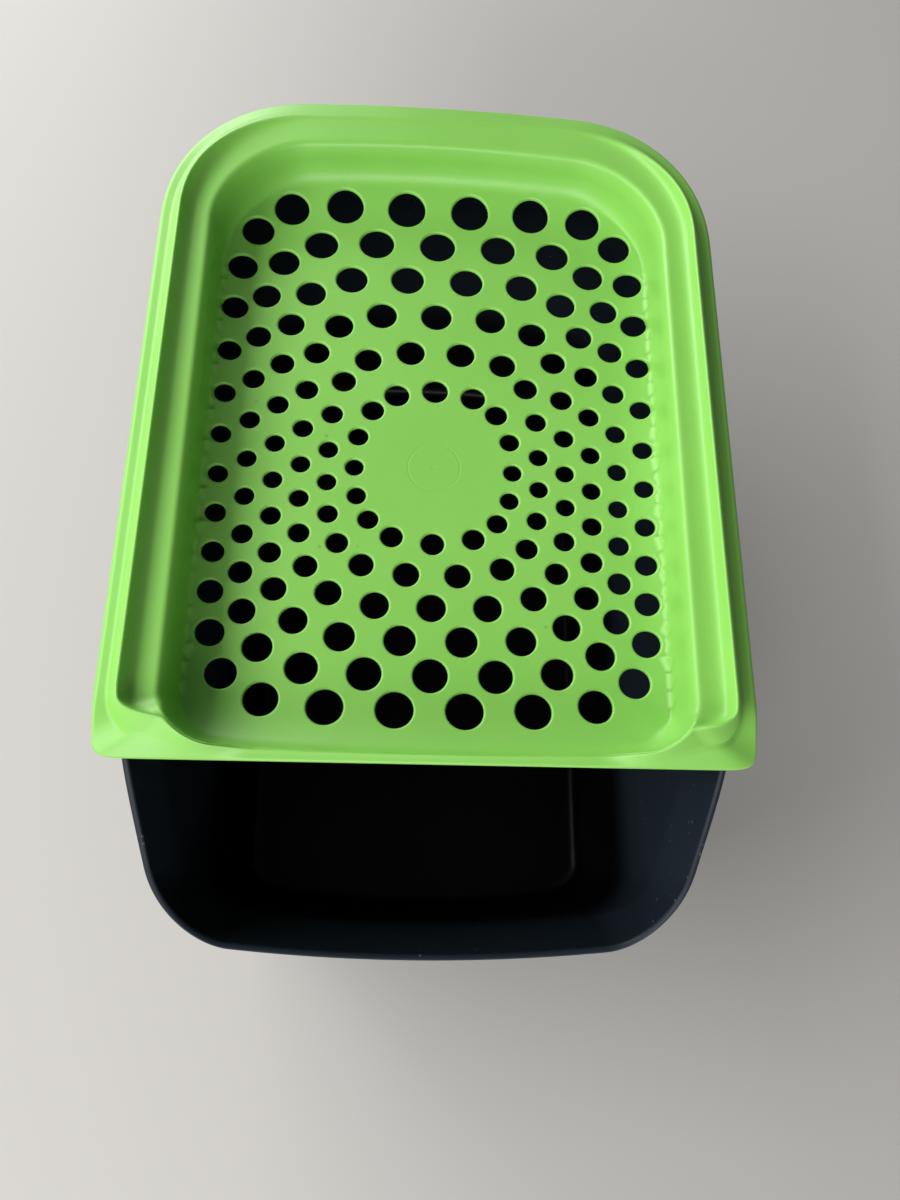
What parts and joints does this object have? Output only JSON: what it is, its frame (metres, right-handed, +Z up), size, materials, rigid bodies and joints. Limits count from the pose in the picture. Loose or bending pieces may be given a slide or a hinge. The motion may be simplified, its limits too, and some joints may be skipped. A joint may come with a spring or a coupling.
{
  "type": "onion storage container",
  "caption": "Open-fronted kitchen keeper: a tapered black bin with a low sloping front opening under a ventilated green lid with rings of round holes.",
  "frame": {"origin": "under the middle of the whole object, on the surface that it stands on", "axes": "+X to the right seen from the open front, +Y from the open front to the back, +Z up"},
  "size_m": [0.198, 0.304, 0.168],
  "materials": {
    "black_plastic": "fine matte moulded",
    "green_plastic": "fine satin moulded"
  },
  "bodies": {
    "root": {"container": "black_plastic", "lid": "green_plastic"}
  },
  "joints": []
}
